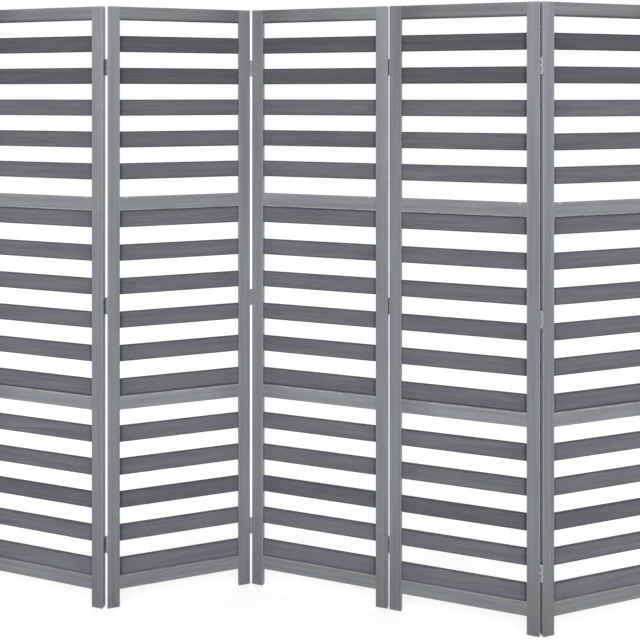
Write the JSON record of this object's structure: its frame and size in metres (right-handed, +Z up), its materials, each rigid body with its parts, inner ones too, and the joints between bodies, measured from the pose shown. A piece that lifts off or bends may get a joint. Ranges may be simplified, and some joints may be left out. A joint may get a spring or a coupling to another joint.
{
  "type": "folding screen",
  "caption": "Free-standing slatted wooden room divider whose framed panels fold on pairs of pinned hinges.",
  "frame": {"origin": "on the floor under the middle of the standing screen's outer box, in its half-open zigzag", "axes": "+X along the screen from its left end to its right end seen from the front, +Y from front to back, +Z up"},
  "size_m": [1.9946, 0.24, 1.7],
  "materials": {
    "grey_stained_frame": "matte grey stain with faint grain",
    "grey_stained_slats": "matte grey stain, darker than the frame",
    "bare_dowel_wood": "bare turned hardwood",
    "hinge_steel": "dull zinc plate"
  },
  "bodies": {
    "panel_1": {"panel_1_left_stile": "grey_stained_frame", "panel_1_right_stile": "grey_stained_frame", "panel_1_top_rail": "grey_stained_frame", "panel_1_upper_middle_rail": "grey_stained_frame", "panel_1_lower_middle_rail": "grey_stained_frame", "panel_1_bottom_rail": "grey_stained_frame", "panel_1_slats": "grey_stained_slats", "panel_1_dowels": "bare_dowel_wood", "panel_1_hinge_screws": "hinge_steel", "joint_1_left_hinge_leaves": "hinge_steel", "joint_1_hinge_pins": "hinge_steel"},
    "panel_2": {"panel_2_left_stile": "grey_stained_frame", "panel_2_right_stile": "grey_stained_frame", "panel_2_top_rail": "grey_stained_frame", "panel_2_upper_middle_rail": "grey_stained_frame", "panel_2_lower_middle_rail": "grey_stained_frame", "panel_2_bottom_rail": "grey_stained_frame", "panel_2_slats": "grey_stained_slats", "panel_2_dowels": "bare_dowel_wood", "panel_2_hinge_screws": "hinge_steel", "joint_2_left_hinge_leaves": "hinge_steel", "joint_2_hinge_pins": "hinge_steel", "joint_1_right_hinge_leaves": "hinge_steel"},
    "panel_3": {"panel_3_left_stile": "grey_stained_frame", "panel_3_right_stile": "grey_stained_frame", "panel_3_top_rail": "grey_stained_frame", "panel_3_upper_middle_rail": "grey_stained_frame", "panel_3_lower_middle_rail": "grey_stained_frame", "panel_3_bottom_rail": "grey_stained_frame", "panel_3_slats": "grey_stained_slats", "panel_3_dowels": "bare_dowel_wood", "panel_3_hinge_screws": "hinge_steel", "joint_3_left_hinge_leaves": "hinge_steel", "joint_3_hinge_pins": "hinge_steel", "joint_2_right_hinge_leaves": "hinge_steel"},
    "panel_4": {"panel_4_left_stile": "grey_stained_frame", "panel_4_right_stile": "grey_stained_frame", "panel_4_top_rail": "grey_stained_frame", "panel_4_upper_middle_rail": "grey_stained_frame", "panel_4_lower_middle_rail": "grey_stained_frame", "panel_4_bottom_rail": "grey_stained_frame", "panel_4_slats": "grey_stained_slats", "panel_4_dowels": "bare_dowel_wood", "panel_4_hinge_screws": "hinge_steel", "joint_4_left_hinge_leaves": "hinge_steel", "joint_4_hinge_pins": "hinge_steel", "joint_3_right_hinge_leaves": "hinge_steel"},
    "panel_5": {"panel_5_left_stile": "grey_stained_frame", "panel_5_right_stile": "grey_stained_frame", "panel_5_top_rail": "grey_stained_frame", "panel_5_upper_middle_rail": "grey_stained_frame", "panel_5_lower_middle_rail": "grey_stained_frame", "panel_5_bottom_rail": "grey_stained_frame", "panel_5_slats": "grey_stained_slats", "panel_5_dowels": "bare_dowel_wood", "panel_5_hinge_screws": "hinge_steel", "joint_4_right_hinge_leaves": "hinge_steel"}
  },
  "joints": [
    {"name": "panel_2_fold", "type": "hinge", "parent": "panel_3", "child": "panel_2", "pos_m": [-0.19578, 0.10322, 0.85], "axis": [0, 0, 1], "range_deg": [-31, 149]},
    {"name": "panel_1_fold", "type": "hinge", "parent": "panel_2", "child": "panel_1", "pos_m": [-0.59812, 0.01156, 0.85], "axis": [0, 0, -1], "range_deg": [-31, 149]},
    {"name": "panel_4_fold", "type": "hinge", "parent": "panel_3", "child": "panel_4", "pos_m": [0.20656, 0.01156, 0.85], "axis": [0, 0, 1], "range_deg": [0, 180]},
    {"name": "panel_5_fold", "type": "hinge", "parent": "panel_4", "child": "panel_5", "pos_m": [0.60094, -0.11773, 0.85], "axis": [0, 0, -1], "range_deg": [0, 211]}
  ],
  "couplings": [
    {"joint": "panel_1_fold", "follows": "panel_2_fold", "ratio": 1},
    {"joint": "panel_5_fold", "follows": "panel_4_fold", "ratio": 1.1722}
  ]
}
